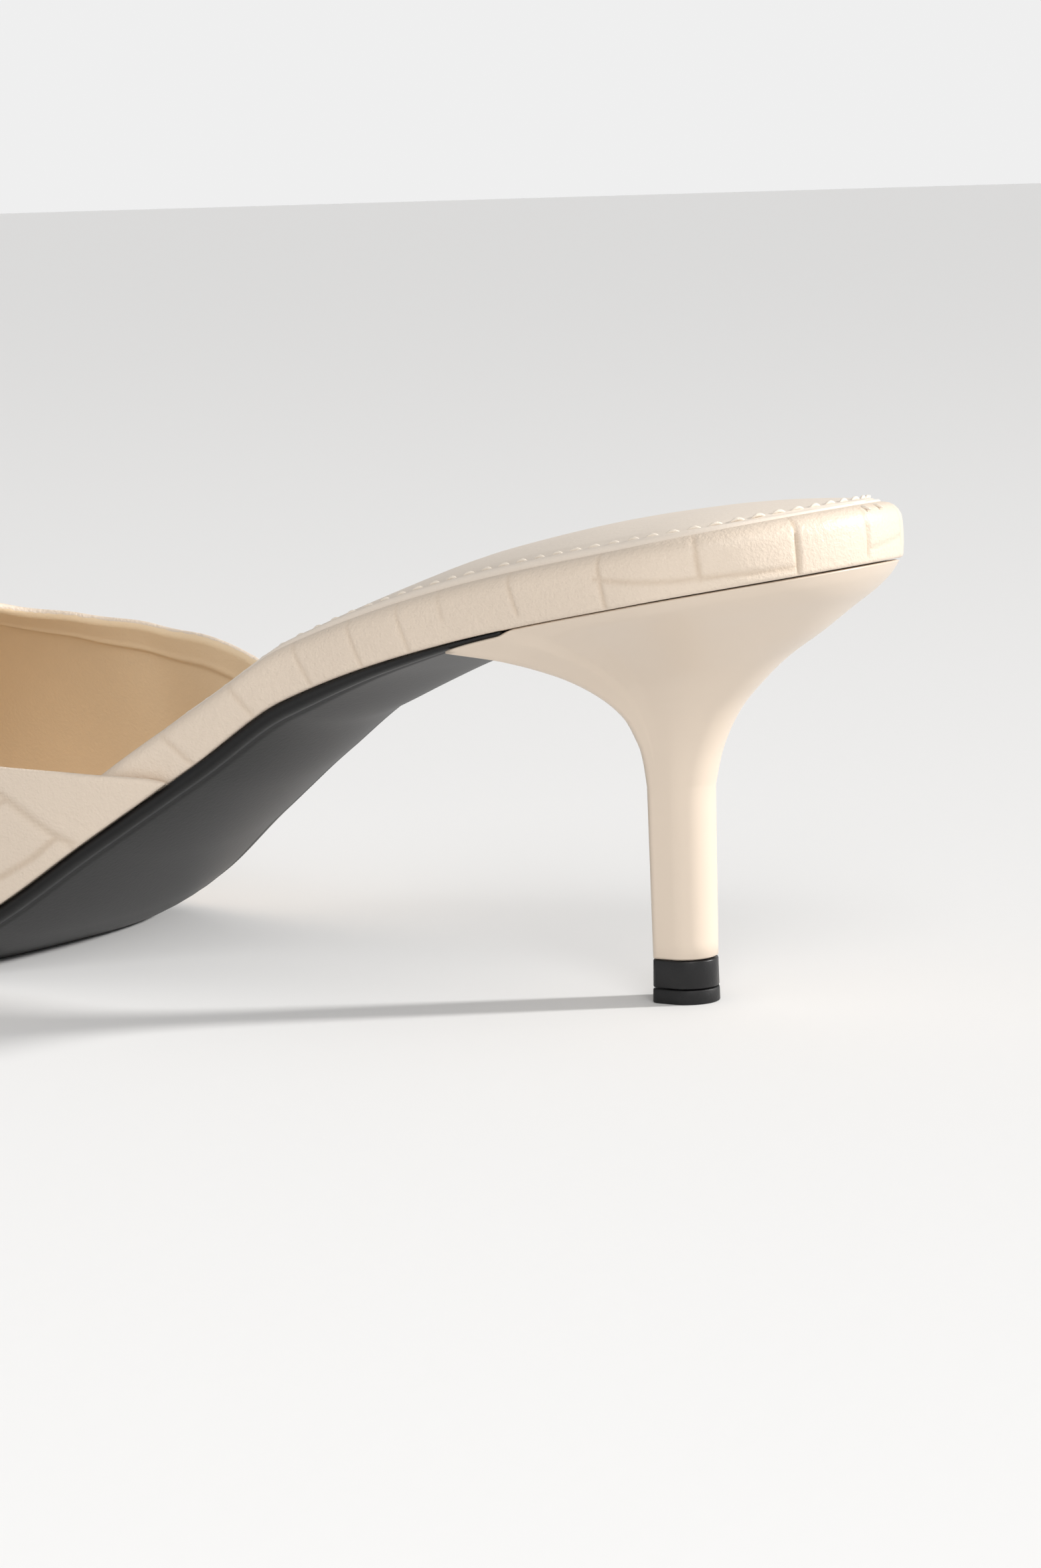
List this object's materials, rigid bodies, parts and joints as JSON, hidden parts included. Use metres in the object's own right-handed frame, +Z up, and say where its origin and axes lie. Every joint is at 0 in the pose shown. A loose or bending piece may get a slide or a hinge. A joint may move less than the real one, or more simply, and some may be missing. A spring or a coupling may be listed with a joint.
{
  "type": "heeled mule sandal",
  "caption": "Slip-on mule on a slim kitten heel: hollow pointed vamp, embossed leather band round a padded footbed, black outsole and heel tip",
  "frame": {"origin": "on the floor under the middle of the shoe's bounding box, where it stands on its heel and forefoot", "axes": "+X to the toe, +Y to the outer side of the left foot, +Z up"},
  "size_m": [0.2468, 0.0776, 0.0703],
  "materials": {
    "embossed_leather": "cream leather embossed with large reptile scales, satin",
    "smooth_leather": "smooth cream leather, matt",
    "cream_lacquer": "cream lacquer, satin gloss",
    "moulded_sole": "black moulded outsole, satin",
    "black_plastic": "black, slightly glossy",
    "black_rubber": "black, matt"
  },
  "bodies": {
    "root": {"outsole": "moulded_sole", "heel": "cream_lacquer", "heel_tip": "black_plastic", "top_lift": "black_rubber", "footbed": "embossed_leather", "sock": "smooth_leather", "upper": "embossed_leather"}
  },
  "joints": []
}
